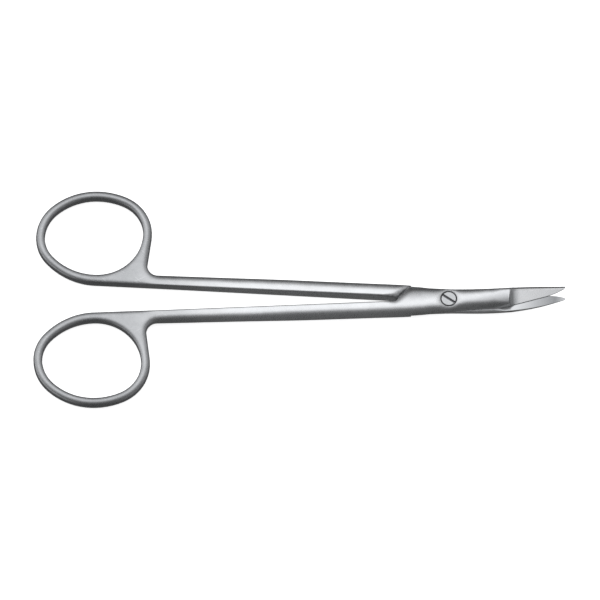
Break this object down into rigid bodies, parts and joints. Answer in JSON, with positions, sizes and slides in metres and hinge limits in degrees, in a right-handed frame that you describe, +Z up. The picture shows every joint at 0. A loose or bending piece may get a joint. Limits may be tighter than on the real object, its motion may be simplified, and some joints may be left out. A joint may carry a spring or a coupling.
{
  "type": "dissecting scissors",
  "caption": "Slender ring-handled dissecting scissors with narrow blades curved on the flat, joined by a flush slotted pivot screw.",
  "frame": {"origin": "on the pivot axis, in the plane of the closed joint's underside", "axes": "+X along the scissors to the tips, +Y across them to the ring of the rear half, +Z up, towards the screw head and the way the blades bend"},
  "size_m": [0.1448, 0.0642, 0.0082],
  "materials": {
    "steel": "satin, fine grain",
    "screw_steel": "satin, turned"
  },
  "bodies": {
    "rear": {"rear_half": "steel", "pivot_screw": "screw_steel"},
    "front": {"front_half": "steel"}
  },
  "joints": [
    {"name": "pivot", "type": "hinge", "parent": "rear", "child": "front", "pos_m": [0, 0, 0.002], "axis": [0, 0, 1], "range_deg": [-5, 55]}
  ]
}
